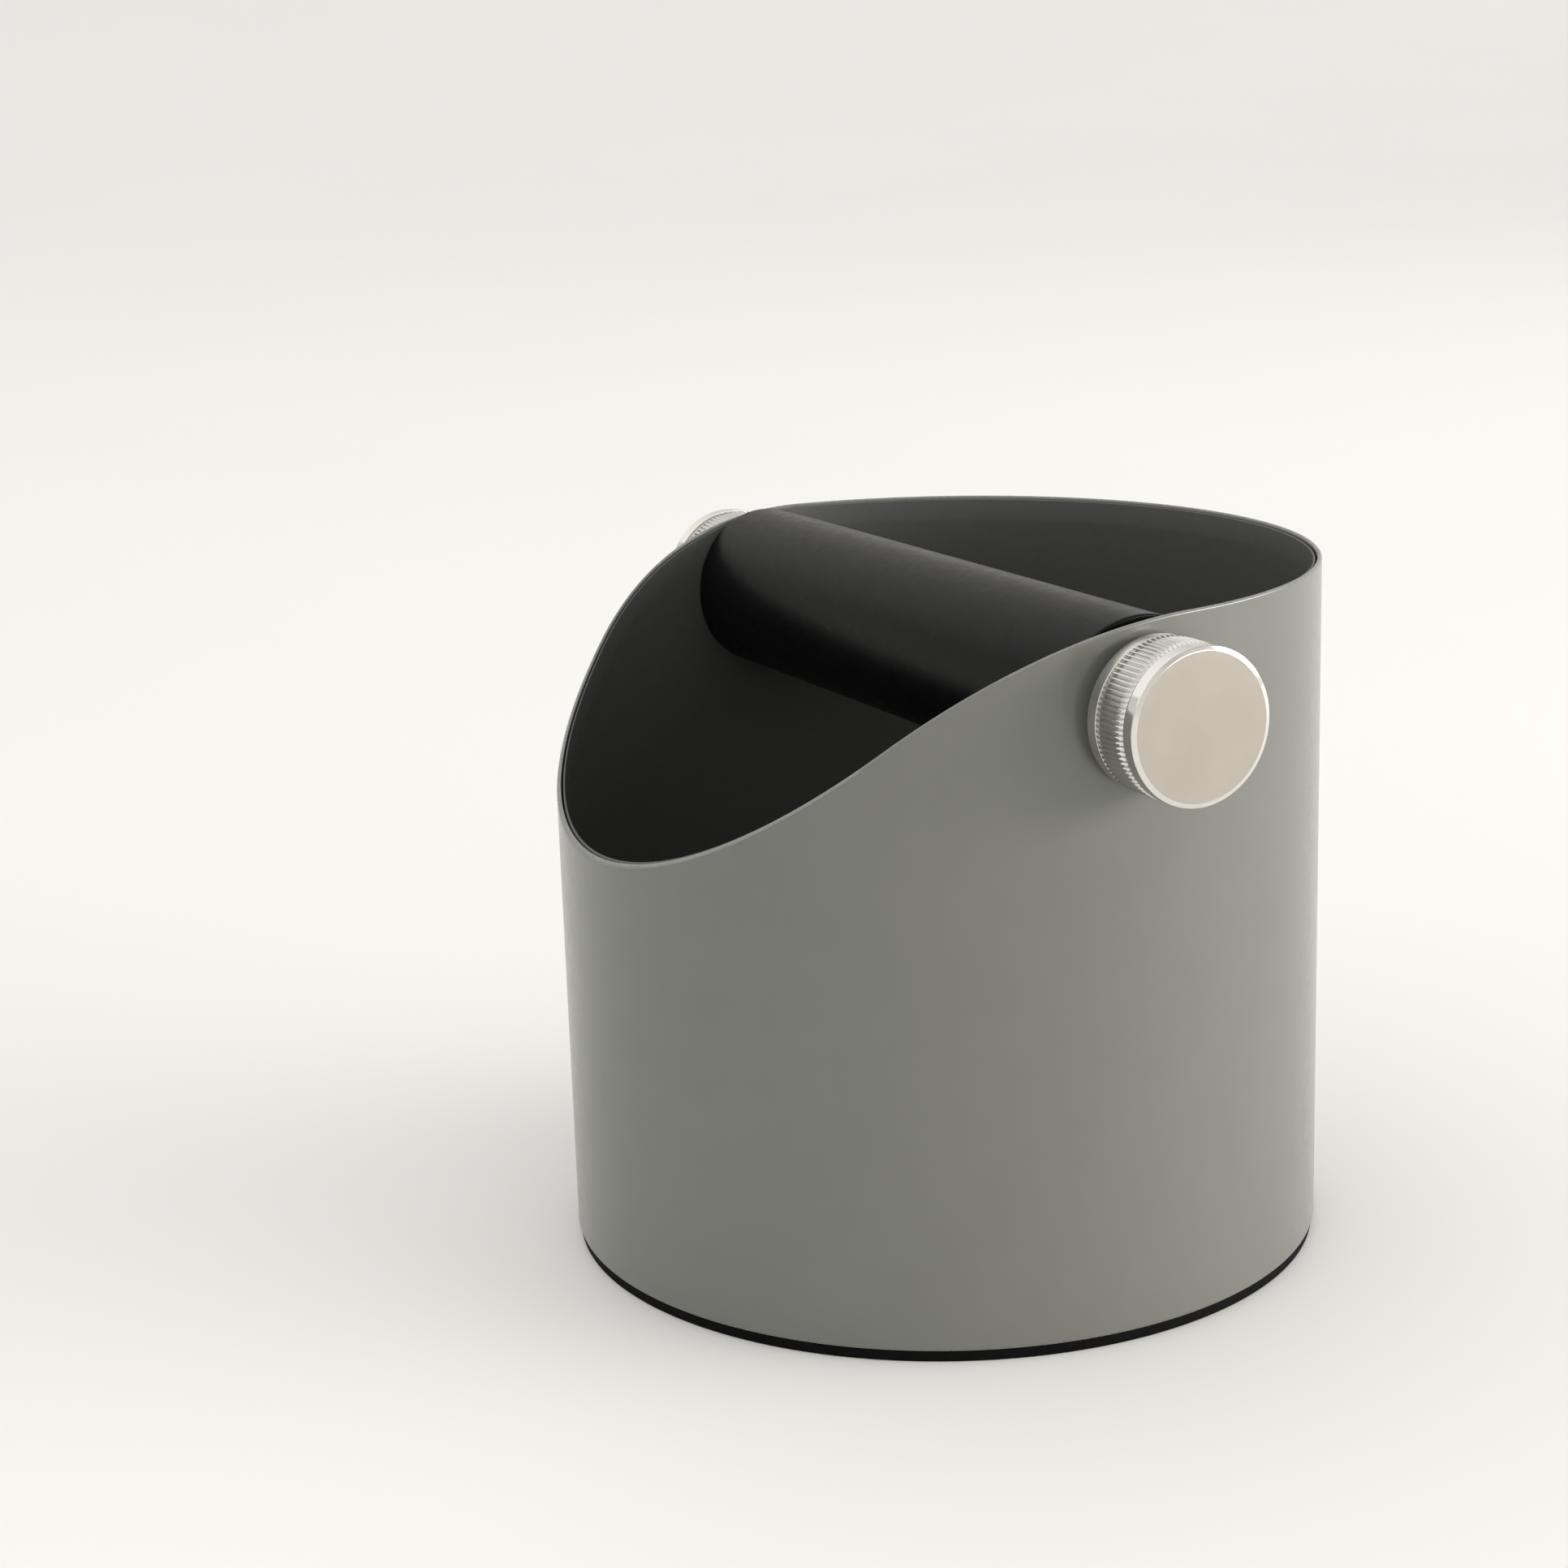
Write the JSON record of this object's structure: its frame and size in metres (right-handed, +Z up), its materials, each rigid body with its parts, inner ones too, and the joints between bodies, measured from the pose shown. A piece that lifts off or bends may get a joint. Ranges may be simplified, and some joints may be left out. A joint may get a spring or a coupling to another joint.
{
  "type": "coffee knock box",
  "caption": "Round counter-top bin with a wave-cut rim and a rubber-covered bar across the mouth, for knocking spent coffee out of a portafilter.",
  "frame": {"origin": "middle of the bin at the level of the bench it stands on", "axes": "+Z up, -Y towards the low front edge, X along the knock bar with right at +X"},
  "size_m": [0.1826, 0.15, 0.1354],
  "materials": {
    "shell_paint": "satin warm grey powder coat",
    "bucket_coat": "matte black coat",
    "foot_rubber": "matte black rubber",
    "base_plastic": "matte black moulded plastic",
    "screw_steel": "plain zinc-plated steel",
    "bar_steel": "plain turned steel",
    "bar_rubber": "smooth black silicone rubber with a soft sheen",
    "washer_plastic": "black nylon",
    "stud_steel": "rolled-thread steel",
    "knob_steel": "polished stainless steel with a satin front face"
  },
  "bodies": {
    "bin": {"outer_shell": "shell_paint", "inner_bucket": "bucket_coat", "foot_ring": "foot_rubber", "base_plate": "base_plastic", "base_screw_1": "screw_steel", "base_screw_2": "screw_steel", "base_screw_3": "screw_steel", "base_screw_4": "screw_steel", "bar_core": "bar_steel", "bar_sleeve": "bar_rubber", "bar_plug_right": "bar_steel", "bar_plug_left": "bar_steel"},
    "right_washer": {"washer_right": "washer_plastic"},
    "right_knob": {"knob_right": "knob_steel", "stud_right": "stud_steel"},
    "left_washer": {"washer_left": "washer_plastic"},
    "left_knob": {"knob_left": "knob_steel", "stud_left": "stud_steel"}
  },
  "joints": [
    {"name": "right_knob_travel", "type": "slide", "parent": "bin", "child": "right_washer", "axis": [1, 0, 0], "range_m": [0, 0.0075]},
    {"name": "right_knob_turn", "type": "hinge", "parent": "right_washer", "child": "right_knob", "pos_m": [0.08, 0, 0.11875], "axis": [1, 0, 0], "range_deg": [0, 2160]},
    {"name": "left_knob_travel", "type": "slide", "parent": "bin", "child": "left_washer", "axis": [-1, 0, 0], "range_m": [0, 0.0075]},
    {"name": "left_knob_turn", "type": "hinge", "parent": "left_washer", "child": "left_knob", "pos_m": [-0.08, 0, 0.11875], "axis": [-1, 0, 0], "range_deg": [0, 2160]}
  ],
  "couplings": [
    {"joint": "right_knob_turn", "follows": "right_knob_travel", "rad_per_m": 5026.5},
    {"joint": "left_knob_turn", "follows": "left_knob_travel", "rad_per_m": 5026.5}
  ]
}
